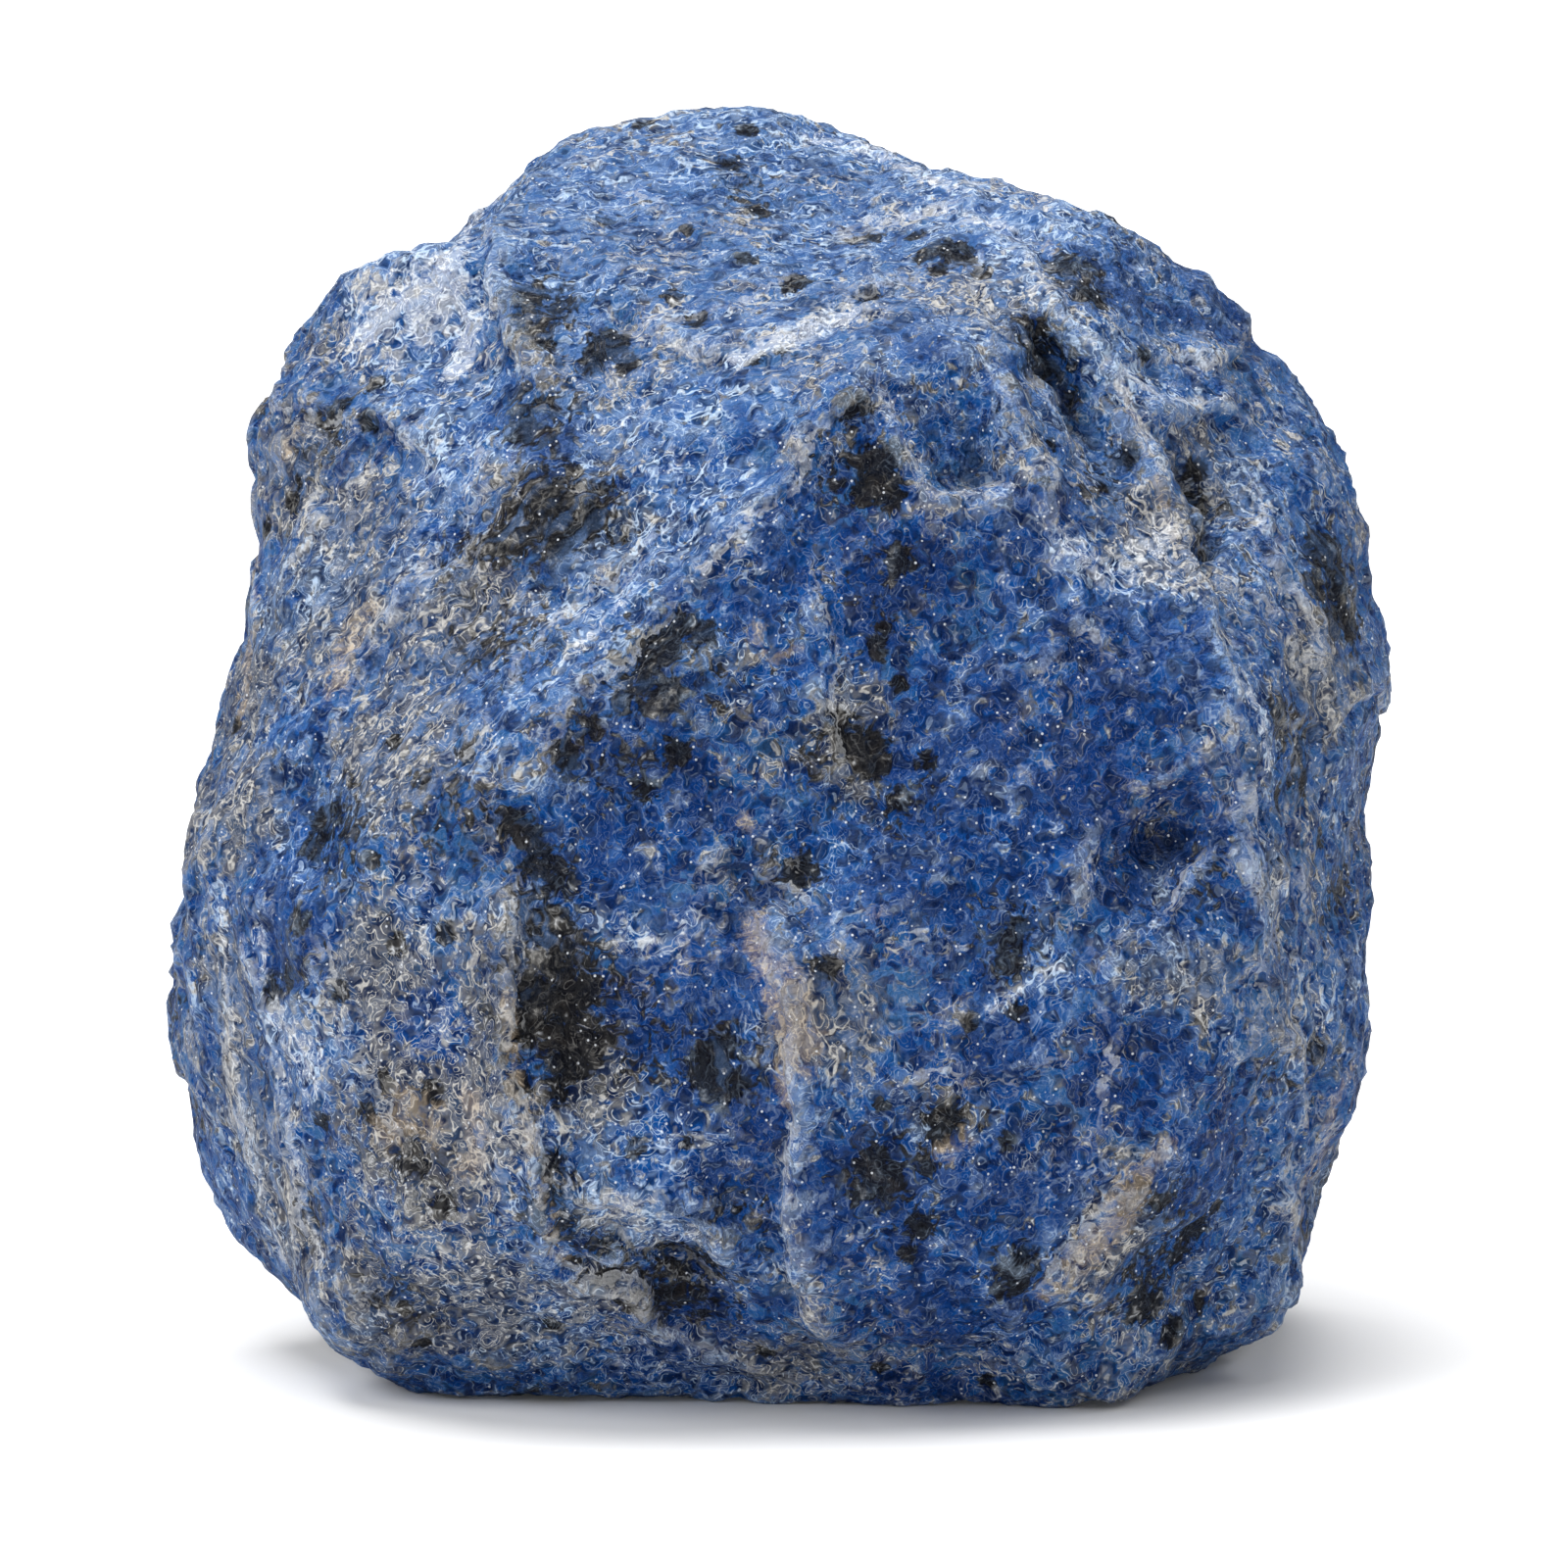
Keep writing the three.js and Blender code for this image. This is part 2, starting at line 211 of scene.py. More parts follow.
# The sharper forms of the front: ridges, ledges and furrows, along lines of pixels in the photograph.
# Each has how far the surface is raised on the left of its line and how far that reaches, then the same
# for its right, in millimetres. Left is the left hand of someone who walks along the line.
RIDGES = {
    "long right ridge": (-0.6, 2.4, 0.9, 2, [(972, 193), (1008, 226), (1046, 250), (1074, 287), (1099, 323),
                                               (1125, 364), (1150, 402), (1163, 438), (1188, 484), (1212, 524),
                                               (1230, 563), (1243, 620), (1262, 700), (1270, 790), (1276, 870),
                                               (1286, 960), (1296, 1060)]),
    "left rim of the scoop": (-0.7, 2.4, 0.55, 1.3, [(905, 362), (897, 398), (913, 435), (941, 486), (964, 504),
                                                   (1000, 506), (1033, 497), (1048, 462)]),
    "right rim of the scoop": (0.6, 0.9, 0.4, 1.4, [(1005, 345), (1023, 400), (1046, 450), (1060, 480),
                                                    (1080, 540), (1096, 590)]),
    "edge under the dark pit": (-1, 1.6, 0.6, 1.2, [(1040, 372), (1060, 394), (1092, 420), (1110, 452)]),
    "ledge behind the ridge": (-0.4, 1.6, 0.7, 1.8, [(1117, 346), (1140, 372), (1181, 404), (1212, 409),
                                                    (1250, 404), (1290, 440)]),
    "furrow behind the ridge": (-1.1, 1.1, -1.1, 0.9, [(1222, 465), (1219, 512), (1228, 550), (1248, 600)]),
    "furrow before the peak": (-0.55, 1, -0.8, 0.9, [(985, 262), (1000, 290), (1022, 330), (1036, 360)]),
    "main ridge": (-0.6, 3, 0.6, 2.4, [(902, 366), (868, 408), (800, 500), (700, 600), (592, 716), (541, 786)]),
    "edge of the lower left block": (-0.9, 2.6, 0.6, 2.4, [(532, 850), (520, 930), (518, 1015), (524, 1091),
                                                           (536, 1142), (546, 1193), (559, 1239), (575, 1285),
                                                           (640, 1308), (735, 1392)]),
    "edge of the lower right slab": (0.6, 2.8, -0.8, 2, [(760, 915), (768, 946), (782, 977), (796, 1022),
                                                          (801, 1079), (806, 1117), (808, 1155), (804, 1206),
                                                          (800, 1257), (806, 1318), (832, 1368), (880, 1412)]),
    "shelf at the foot": (0.6, 3.2, -1.4, 2.6, [(585, 1226), (640, 1238), (690, 1250), (720, 1268), (742, 1296)]),
    "cavity under the shelf": (-0.8, 1.2, -0.8, 1.2, [(590, 1258), (645, 1276), (700, 1294), (742, 1322)]),
    "lip below the cavity": (0.5, 1.2, 0.6, 1.6, [(560, 1276), (606, 1302), (655, 1336), (705, 1364), (765, 1392),
                                                 (840, 1412)]),
    "edge of the right face": (0.5, 1.4, -0.5, 2.2, [(1254, 600), (1262, 700), (1266, 800), (1268, 880),
                                                    (1284, 950), (1292, 1020), (1276, 1070), (1262, 1120)]),
    "low right facet": (-0.5, 1.8, 0.5, 1.8, [(1268, 1036), (1306, 1040), (1334, 1080), (1330, 1140), (1316, 1200),
                                             (1322, 1290)]),
    "fold of the lower front": (0.3, 1.8, -0.4, 1.6, [(1110, 940), (1124, 1010), (1132, 1090), (1112, 1170)]),
    "left corner": (0.7, 1.4, 0.6, 1.2, [(232, 880), (252, 925), (266, 977), (273, 1028), (283, 1066), (290, 1117),
                                         (298, 1181), (313, 1232), (330, 1283), (352, 1340)]),
    "second left corner": (0.4, 0.9, -0.4, 1.2, [(222, 985), (232, 1060), (243, 1140), (262, 1220), (290, 1300)]),
    "rim of the right scoop": (0.25, 2.4, -0.5, 3.0, [(1112, 940), (1104, 890), (1130, 852), (1166, 828),
                                                     (1200, 790), (1226, 758)]),
    "bottom of the right scoop": (-0.3, 1.6, 0.25, 1.6, [(1128, 978), (1180, 940), (1226, 880), (1246, 820)]),
    "crease of the right side": (-0.4, 1.6, 0.6, 1.6, [(1382, 1090), (1362, 1124), (1350, 1178), (1327, 1210),
                                                       (1322, 1270), (1301, 1321), (1240, 1346)]),
    "hairline on the cap": (0.08, 0.8, -0.08, 0.8, [(566, 155), (610, 172), (640, 192), (660, 208), (690, 232)]),
    "second hairline": (0.1, 0.8, -0.1, 0.8, [(620, 338), (700, 325), (750, 310), (790, 290), (840, 272)]),
    "third hairline": (0.1, 0.8, -0.1, 0.8, [(830, 252), (900, 232), (960, 222), (1010, 214)]),
    "edge of the cap": (0.55, 1.6, -0.4, 1.8, [(640, 345), (712, 356), (790, 342), (850, 322), (905, 300),
                                             (955, 262)]),
    "left edge of the cap": (0.8, 2.4, -0.5, 2, [(470, 205), (492, 240), (500, 290), (520, 345), (560, 400)]),
    "small step on the front": (0.45, 1.2, -0.45, 1.8, [(1020, 712), (1066, 668), (1112, 640), (1140, 700)]),
    "second step on the front": (0.4, 1.4, -0.4, 1.8, [(690, 905), (740, 880), (800, 905), (860, 960)]),
    "third step on the front": (-0.4, 1.8, 0.4, 1.8, [(820, 560), (850, 640), (846, 720), (880, 800)]),
    "step on the slab": (0.4, 1.8, -0.45, 1.8, [(900, 1120), (960, 1090), (1030, 1110), (1090, 1080)]),
    "low step on the slab": (-0.45, 1.6, 0.4, 1.6, [(1040, 1330), (1100, 1270), (1150, 1215), (1196, 1160)]),
    "dent line of the left block": (-0.55, 1.2, 0.25, 1.2, [(300, 940), (345, 1010), (380, 1110), (420, 1190)]),
    "line of the left face": (0.25, 1.4, -0.45, 1, [(330, 760), (390, 650), (450, 560), (540, 450)]),
    "second line of the left face": (0.35, 1.6, -0.4, 1.2, [(420, 830), (520, 700), (600, 610), (700, 520)]),
    "third line of the left face": (0.4, 1.2, -0.25, 1, [(280, 620), (330, 520), (380, 440), (410, 390)]),
    "line over the right side": (0.45, 1.4, -0.4, 1.4, [(1262, 470), (1300, 560), (1336, 640), (1352, 740)]),
}
# The back isn't in the photograph. It broke in the same way, along lines seen from behind.
BACK_RIDGES = {
    "long ridge": (-0.45, 2.2, 0.75, 2, [(420, 330), (520, 420), (600, 540), (700, 640), (820, 700), (940, 740),
                                        (1060, 820)]),
    "upper step": (0.7, 1.8, -0.6, 1.8, [(700, 250), (820, 300), (960, 310), (1100, 360), (1200, 420)]),
    "left ledge": (-0.6, 1.8, 0.6, 1.8, [(300, 560), (340, 700), (330, 860), (380, 1000)]),
    "slab edge": (0.75, 2.2, -0.6, 1.8, [(620, 760), (640, 900), (610, 1040), (640, 1180), (600, 1320)]),
    "right slab": (-0.6, 2, 0.6, 2, [(1000, 880), (980, 1020), (1020, 1160), (1000, 1300)]),
    "shelf": (0.75, 1.6, -0.75, 1.6, [(700, 1120), (800, 1100), (900, 1130), (960, 1180)]),
    "right ridge": (0.6, 1.6, 0.45, 1.6, [(1200, 520), (1240, 660), (1230, 800), (1270, 940), (1250, 1100)]),
    "low crease": (-0.45, 1.4, 0.6, 1.4, [(420, 1100), (480, 1200), (470, 1300)]),
    "middle step": (0.5, 1.8, -0.45, 1.8, [(760, 860), (840, 820), (900, 880), (960, 860)]),
    "shoulder line": (0.45, 1.4, -0.45, 1.2, [(500, 620), (430, 700), (400, 800)]),
    "upper right line": (-0.45, 1.2, 0.45, 1.4, [(1040, 460), (1100, 560), (1120, 680)]),
}
# The two sides, each seen from its own side.
RIGHT_RIDGES = {
    "upper edge": (0.5, 2.0, -0.4, 1.8, [(560, 380), (700, 420), (860, 400), (1000, 440), (1120, 520)]),
    "long edge": (-0.4, 2.4, 0.6, 2.0, [(900, 300), (960, 460), (940, 640), (1000, 820), (980, 1000), (1040, 1180)]),
    "ledge": (0.6, 1.8, -0.6, 1.8, [(420, 760), (560, 800), (700, 780), (820, 840), (930, 830)]),
    "low slab": (-0.5, 2.2, 0.5, 1.8, [(560, 960), (600, 1100), (720, 1200), (860, 1240)]),
    "front step": (0.4, 1.6, -0.5, 1.6, [(480, 560), (520, 700), (470, 880), (500, 1040)]),
    "back step": (-0.6, 1.6, 0.3, 1.4, [(1100, 700), (1180, 800), (1160, 920)]),
}
LEFT_RIDGES = {
    "upper step": (0.5, 2.0, -0.5, 1.8, [(520, 480), (660, 440), (800, 500), (940, 470), (1060, 540)]),
    "long edge": (0.6, 2.2, -0.5, 2.0, [(760, 330), (720, 520), (780, 700), (740, 900), (800, 1080), (780, 1240)]),
    "ledge": (-0.5, 1.8, 0.5, 1.8, [(420, 800), (540, 860), (700, 840)]),
    "slab": (0.5, 2.0, -0.5, 2.0, [(900, 760), (1000, 820), (1040, 960), (1000, 1120)]),
    "low step": (-0.5, 1.6, 0.5, 1.6, [(560, 1040), (680, 1120), (840, 1100), (960, 1180)]),
    "shoulder": (0.4, 1.4, -0.4, 1.6, [(1000, 420), (1080, 560), (1060, 700)]),
}
FADES_FROM = 0.25
STEP_HALF_WIDTH = 9
SEAM_REACH_MM = 1.3


def beside(line, seen):
    """Each corner's distance in pixels from a line, whether it is on its left, and how far along it is."""
    line = np.array(line, float)
    steps = np.hypot(*np.diff(line, axis=0).T)
    ends = np.concatenate([[0], np.cumsum(steps)])
    best = np.full(len(seen), np.inf)
    left = np.zeros(len(seen), bool)
    along = np.zeros(len(seen))
    for start, end, step, before in zip(line[:-1], line[1:], steps, ends[:-1]):
        share = np.clip((seen - start) @ (end - start) / step ** 2, 0, 1)
        off = seen - start - share[:, None] * (end - start)
        far = np.hypot(off[:, 0], off[:, 1])
        nearer = far < best
        turn = (end - start)[0] * off[:, 1] - (end - start)[1] * off[:, 0]
        best[nearer] = far[nearer]
        left[nearer] = turn[nearer] < 0
        along[nearer] = (before + share * step)[nearer] / ends[-1]
    return best, left, along


def wander(co, size, by):
    """A shift in pixels for each corner, so that a line drawn over the stone isn't straight."""
    return by * np.array([noise.noise_vector(Vector(place) / size).xy for place in co])


co = places()
out = normals()
wobble = wander(co, 0.003, 16) + wander(co, 0.001, 6)
PIXELS_PER_MM = PIXELS_PER_METRE / 1000
seam = np.full(len(co), 9.0)
seam_show = np.zeros(len(co))
for lines, degrees in [(RIDGES, 0), (BACK_RIDGES, 180), (RIGHT_RIDGES, 90), (LEFT_RIDGES, 270)]:
    seen = in_picture(co, degrees) + wobble
    shown = np.clip(turned(out, degrees) @ np.array(to_viewer) / FADES_FROM, 0, 1)
    for left_height, left_reach, right_height, right_reach, line in lines.values():
        far, on_left, along = beside(line, seen)
        over = np.where(on_left, far, -far)
        left_share = np.clip(0.5 + over / (2 * STEP_HALF_WIDTH), 0, 1)
        height = right_height + (left_height - right_height) * left_share
        reach = np.where(on_left, left_reach, right_reach) * PIXELS_PER_MM
        ends = np.clip(np.minimum(along, 1 - along) / 0.2, 0, 1)
        co += out * (0.001 * height * np.clip(1 - far / reach, 0, 1) ** 1.4 * ends * shown)[:, None]
        nearest = (far / PIXELS_PER_MM < abs(seam)) & (shown > 0)
        seam[nearest] = over[nearest] / PIXELS_PER_MM
        seam_show[nearest] = (ends * shown * np.clip(SEAM_REACH_MM - far / PIXELS_PER_MM, 0, 1))[nearest]


# Two corners of the foot stand out a little further than the solid's. Pixel, then radius and height in
# millimetres.
LOW_CORNERS = {"left": (345, 1340, 7, 1.4), "right": (1290, 1320, 6, 1.2)}

seen = in_picture(co)
front = np.where(out @ np.array(to_viewer) > 0.12)[0]
for px, py, radius, height in LOW_CORNERS.values():
    off = seen[front] - (px, py)
    middle = co[front[np.argmin(off[:, 0] ** 2 + off[:, 1] ** 2)]].copy()
    share = np.clip(1 - ((co - middle) ** 2).sum(1) / (radius * 0.001) ** 2, 0, 1)
    co += out * (0.001 * height * share ** 2)[:, None]


# Small pits are left where soft dark grains have dropped out. They are strewn over the whole stone, and
# the stone stays flat where it stands.
PITS = 260
PIT_WIDTHS = (0.0005, 0.0014)
PIT_DEPTH_SHARE = 0.42

nearby = kdtree.KDTree(len(co))
for i, place in enumerate(co):
    nearby.insert(place, i)
nearby.balance()
for _ in range(PITS):
    middle = co[chance.randrange(len(co))].copy()
    width = PIT_WIDTHS[0] + (PIT_WIDTHS[1] - PIT_WIDTHS[0]) * chance.random() ** 2
    for _, i, far in nearby.find_range(middle, width):
        co[i] -= out[i] * width * PIT_DEPTH_SHARE * (1 - (far / width) ** 2) ** 2
move_to(co)


# Colour lies in the rock: black grains of other minerals in clusters, white and tan veins of quartz and
# weathered feldspar, and slate-grey and deep blue zones. Each place is a pixel of the photograph, with a
# radius in millimetres, and the amounts are kept on the net for the material to read.
DARK_CLUSTERS = {
    "front of the peak": [(873, 416, 0.9), (896, 478, 1.3), (905, 502, 0.9), (886, 506, 0.7), (912, 455, 0.6)],
    "deep pit": [(1054, 358, 1.1), (1062, 378, 0.9), (1046, 336, 0.7), (1034, 392, 0.6), (1092, 412, 0.5)],
    "behind the ridge": [(1085, 270, 1.0), (1112, 299, 1.0), (1102, 304, 0.6), (1167, 363, 0.5)],
    "on the ridge": [(1151, 465, 0.7), (1070, 452, 0.4), (1064, 490, 0.4), (1128, 494, 0.4), (1105, 500, 0.4)],
    "furrow": [(1222, 480, 0.7), (1218, 512, 0.7), (1228, 540, 0.7), (1250, 520, 0.5)],
    "right edge": [(1353, 566, 1.3), (1372, 600, 1.1), (1376, 630, 1.3), (1362, 640, 0.9), (1340, 596, 0.8)],
    "right side": [(1306, 730, 1.0), (1322, 762, 0.7), (1330, 795, 0.8), (1300, 812, 0.5), (1346, 860, 0.5)],
    "below the main ridge": [(675, 665, 1.3), (688, 642, 0.9), (716, 649, 0.7), (680, 705, 1.0), (656, 690, 0.8),
                             (693, 767, 0.7), (657, 802, 0.6), (601, 739, 0.6), (575, 772, 0.8), (640, 716, 0.6)],
    "middle of the front": [(858, 739, 0.9), (878, 770, 1.2), (890, 782, 0.8), (862, 756, 0.9)],
    "lower front": [(815, 889, 0.9), (832, 893, 0.5), (917, 815, 0.7), (943, 777, 0.5), (917, 573, 0.8),
                    (894, 662, 0.7), (917, 700, 0.5), (902, 640, 0.5)],
    "upper left face": [(546, 302, 0.9), (536, 338, 1.1), (552, 352, 0.9), (620, 350, 0.9), (604, 362, 0.6),
                        (533, 440, 0.9), (559, 506, 1.3), (592, 526, 1.2), (521, 544, 1.1), (546, 528, 1.2),
                        (574, 548, 0.9), (500, 560, 0.8), (610, 500, 0.6)],
    "left shoulder": [(373, 430, 0.7), (345, 417, 0.6), (383, 389, 0.6), (299, 511, 0.6), (310, 490, 0.5)],
    "cap": [(747, 168, 0.7), (763, 136, 0.6), (768, 215, 0.7), (700, 232, 0.4), (760, 262, 0.5), (620, 226, 0.5),
            (962, 276, 0.5), (930, 240, 0.5), (684, 300, 0.5), (880, 305, 0.7), (893, 295, 0.5), (815, 288, 0.8),
            (804, 294, 0.5), (713, 328, 0.7), (890, 244, 0.6), (870, 247, 0.5), (655, 130, 0.6)],
    "layers by the peak": [(958, 250, 0.8), (975, 256, 0.8), (940, 262, 0.6), (990, 262, 0.7), (1004, 280, 0.5)],
    "edge of the cap": [(615, 352, 1.0), (604, 366, 0.8), (640, 372, 0.6), (770, 366, 0.5), (798, 356, 0.4)],
    "left edge": [(268, 540, 0.5), (262, 600, 0.5), (250, 660, 0.4), (244, 742, 0.5)],
    "left of the middle": [(332, 841, 0.9), (346, 826, 0.7), (320, 862, 0.7), (380, 880, 0.5), (430, 800, 0.5),
                           (402, 760, 0.5), (480, 770, 0.5)],
    "lower left block": [(307, 936, 0.8), (283, 1011, 0.9), (296, 1000, 0.6), (332, 1143, 0.6), (378, 1135, 0.6),
                         (419, 1181, 0.9), (428, 1192, 0.6), (453, 1235, 0.7), (392, 1102, 0.5), (440, 1120, 0.7),
                         (455, 955, 0.6), (405, 965, 0.6), (350, 1014, 0.5)],
    "block edge": [(523, 841, 0.9), (540, 860, 0.8), (556, 878, 0.9), (565, 900, 0.7), (556, 940, 1.0),
                   (562, 975, 1.2), (545, 1010, 1.1), (575, 1020, 1.3), (598, 1011, 0.9), (568, 1060, 1.0),
                   (590, 1082, 1.1), (575, 1088, 1.0), (606, 1060, 0.8), (540, 1045, 0.9), (532, 1110, 0.8),
                   (570, 1118, 0.6)],
    "recess": [(726, 1094, 1.0), (751, 1110, 0.7), (738, 1072, 0.8), (720, 1080, 0.7), (733, 1124, 0.5),
               (650, 1170, 0.5), (560, 1190, 0.7), (556, 1240, 0.8), (572, 1262, 0.7), (700, 1170, 0.4)],
    "slab": [(1040, 945, 0.6), (1034, 962, 0.8), (1027, 980, 0.7), (1038, 1035, 0.5), (990, 1040, 0.5),
             (967, 1147, 1.1), (955, 1156, 0.7), (893, 1183, 0.9), (911, 1204, 0.8), (896, 1214, 0.9),
             (880, 1224, 0.6), (943, 1192, 0.5), (1024, 1160, 0.5), (840, 985, 0.7), (900, 1130, 0.4),
             (1040, 1295, 1.2), (1029, 1312, 0.9), (940, 1250, 0.8), (930, 1280, 0.6)],
    "lower right": [(1165, 1221, 0.8), (1153, 1234, 0.7), (1183, 1226, 0.6), (1216, 1252, 0.9), (1201, 1279, 0.6),
                    (1170, 1334, 1.1), (1161, 1326, 0.7), (1221, 1331, 0.5), (1199, 1362, 0.9), (1346, 1076, 0.8),
                    (1240, 1234, 0.5), (1310, 1280, 0.5)],
    "foot": [(685, 1318, 0.7), (640, 1330, 0.5), (720, 1340, 0.5), (560, 1350, 0.5), (430, 1370, 0.5),
             (780, 1376, 0.6), (620, 1300, 0.6), (900, 1396, 0.5), (1010, 1410, 0.5)],
}
# Soft dark smudges round the clusters: pixel, radius in millimetres and strength.
SMUDGES = [(546, 312, 2.2, 0.65), (545, 425, 2.4, 0.6), (560, 520, 3.2, 0.65), (600, 500, 2.0, 0.6),
           (500, 655, 2.2, 0.5), (336, 440, 2.0, 0.5), (480, 560, 2.4, 0.4), (670, 680, 3.2, 0.5),
           (640, 780, 2.4, 0.4), (590, 760, 2.2, 0.4), (880, 480, 2.2, 0.5), (1368, 600, 3.0, 0.55),
           (1320, 760, 2.6, 0.45), (1130, 490, 1.8, 0.4), (1228, 530, 2.0, 0.5), (1060, 360, 2.2, 0.6),
           (575, 1040, 4.0, 0.55), (560, 920, 2.4, 0.5), (640, 1060, 3.0, 0.4), (738, 1090, 2.4, 0.5),
           (300, 1000, 2.4, 0.4), (420, 1180, 3.0, 0.45), (350, 850, 3.0, 0.45), (470, 820, 3.0, 0.35),
           (860, 770, 2.4, 0.4), (1030, 960, 2.2, 0.4), (900, 1200, 2.6, 0.45), (1165, 1300, 2.6, 0.4),
           (1190, 1240, 2.4, 0.4), (570, 1230, 2.4, 0.6), (690, 1310, 3.0, 0.6), (620, 1290, 2.4, 0.5),
           (760, 1250, 2.4, 0.35), (930, 820, 2.0, 0.35), (1100, 280, 2.0, 0.45), (250, 620, 3.0, 0.4),
           (900, 590, 2.0, 0.35), (790, 900, 1.8, 0.3), (1330, 1080, 2.4, 0.35), (530, 660, 2.6, 0.35),
           (1240, 900, 2.4, 0.3), (760, 200, 2.0, 0.35), (400, 1330, 2.6, 0.35), (1040, 1300, 2.2, 0.4)]
WHITE_VEINS = {
    "saddle, left": (0.85, 1.3, [(370, 345), (388, 328), (404, 310), (434, 288)]),
    "saddle, middle": (1.1, 1.3, [(428, 330), (448, 300), (458, 276)]),
    "saddle, right": (0.8, 1.3, [(480, 328), (477, 352), (467, 376)]),
    "saddle, low": (0.5, 0.7, [(376, 352), (393, 362), (400, 376)]),
    "side of the cap": (0.55, 1.0, [(462, 262), (478, 236), (490, 208), (512, 184)]),
    "knob of the shoulder": (0.6, 0.7, [(350, 288), (362, 282)]),
    "cap streak": (0.5, 1.2, [(748, 370), (786, 353), (826, 338), (872, 318)]),
    "cap streak, left": (0.6, 0.7, [(690, 352), (716, 342)]),
    "cap streak, upper": (0.4, 0.8, [(880, 226), (930, 218), (978, 212)]),
    "top of the cap": (0.7, 0.9, [(832, 142), (870, 150), (905, 158)]),
    "top of the cap, right": (0.7, 0.9, [(925, 170), (960, 186), (998, 190)]),
    "ridge top": (0.7, 0.7, [(985, 222), (1020, 232), (1050, 262), (1068, 300)]),
    "ridge": (0.4, 0.7, [(1052, 305), (1099, 330), (1125, 368), (1150, 404), (1165, 440), (1190, 484)]),
    "pale patch by the ridge": (0.9, 0.8, [(1092, 560), (1130, 590), (1165, 560), (1190, 540)]),
    "pale patch, low": (0.7, 0.5, [(1150, 600), (1185, 570), (1200, 600)]),
    "scoop rim": (0.3, 0.5, [(897, 398), (913, 435), (941, 486), (964, 504), (1000, 506), (1033, 499)]),
    "ledge behind": (0.35, 0.7, [(1140, 372), (1181, 404), (1212, 409), (1250, 406)]),
    "left block": (1.2, 0.8, [(282, 1030), (300, 1060), (320, 1085), (318, 1110)]),
    "left corner": (0.35, 0.7, [(262, 950), (272, 1028), (284, 1072), (292, 1120), (304, 1200), (318, 1250), (330, 1290)]),
    "left flank": (0.25, 0.7, [(226, 900), (230, 1000), (240, 1090), (258, 1180), (290, 1290)]),
    "shelf": (1.6, 0.6, [(600, 1232), (640, 1240), (690, 1252), (716, 1264)]),
    "middle left": (0.8, 0.45, [(640, 960), (690, 957), (700, 940)]),
    "slab streak": (0.35, 0.7, [(1008, 1033), (1041, 1012), (1060, 998), (1079, 983)]),
    "slab edge, low": (0.5, 0.35, [(806, 1155), (803, 1206), (800, 1257), (806, 1318), (832, 1368)]),
    "right flank": (0.5, 0.7, [(1262, 690), (1290, 730), (1296, 800)]),
    "right scoop": (0.4, 0.4, [(1250, 1060), (1262, 1090), (1256, 1060)]),
    "under the main ridge": (0.8, 0.4, [(596, 905), (620, 940), (650, 958)]),
    "left face, low": (0.35, 0.7, [(570, 680), (600, 650), (640, 610)]),
    "left face, top": (0.3, 0.7, [(448, 430), (440, 462)]),
    "front, middle": (0.4, 0.7, [(846, 716), (862, 722)]),
}
# Pale haze in the saddle, and fainter on the lower left; the dabs along the foot are painted light that
# makes the downward-facing foot paler. Pixel, radius in millimetres and strength.
HAZES_AND_FOOT_LIGHT = [(330, 1070, 3, 0.45), (400, 1220, 3.5, 0.4), (470, 1290, 3.5, 0.4), (450, 1050, 3, 0.35),
         (560, 1350, 3.5, 0.4), (660, 1380, 3, 0.4), (420, 960, 3, 0.35), (500, 1180, 3, 0.35),
         (760, 1400, 3, 0.35), (900, 1400, 3, 0.35), (1040, 1400, 3, 0.35), (1160, 1390, 3, 0.35),
         (700, 1180, 3, 0.3), (620, 1150, 2.5, 0.3), (1230, 1330, 3, 0.35), (1330, 1040, 2.5, 0.35),
         (400, 320, 3.2, 0.7), (436, 306, 3, 0.7), (470, 320, 2.6, 0.6), (420, 270, 3, 0.5), (386, 290, 2.6, 0.5),
         (640, 420, 3, 0.3), (700, 480, 3, 0.3), (470, 480, 3, 0.3), (1090, 200, 3, 0.35), (1000, 190, 3, 0.35)]
TAN_VEINS = {
    "slab edge": (0.8, 1.0, [(768, 946), (784, 985), (797, 1030), (801, 1079), (806, 1117)]),
    "slab edge, inside": (1.2, 1.0, [(800, 1000), (818, 1040), (822, 1075)]),
    "lower right": (1.0, 1.0, [(1089, 1301), (1122, 1265), (1147, 1238), (1160, 1205)]),
    "lower right, tail": (0.6, 0.8, [(1060, 1322), (1089, 1301)]),
    "lower right, top": (0.5, 0.8, [(1160, 1205), (1180, 1180), (1200, 1168)]),
    "left block": (1.3, 0.8, [(400, 1150), (420, 1130), (440, 1150)]),
    "left block, right": (0.8, 0.8, [(480, 1120), (490, 1160), (476, 1195)]),
    "block edge": (0.5, 0.8, [(518, 1015), (524, 1091), (536, 1142), (546, 1193), (559, 1239), (575, 1285)]),
    "left face": (0.9, 0.8, [(340, 700), (356, 660), (372, 630)]),
    "left face, edge": (0.5, 0.8, [(262, 560), (258, 640), (246, 730)]),
    "front stem": (0.4, 0.8, [(774, 636), (770, 652), (778, 664)]),
    "front line": (0.3, 0.8, [(784, 676), (818, 658)]),
    "front knot": (0.4, 0.8, [(760, 830), (764, 846)]),
    "star": (0.45, 0.8, [(893, 932)]),
    "right crease": (0.5, 0.8, [(1382, 1090), (1362, 1124), (1350, 1178), (1327, 1210), (1322, 1270)]),
    "ridge": (0.35, 0.8, [(1125, 368), (1150, 404), (1163, 440), (1180, 480), (1200, 560)]),
    "peak side": (0.4, 0.8, [(1068, 248), (1072, 262)]),
    "slab, speck": (0.5, 0.8, [(982, 1104)]),
    "slab, low": (0.6, 0.8, [(990, 1160), (960, 1176)]),
    "left knob": (0.4, 0.8, [(300, 440), (290, 470)]),
}
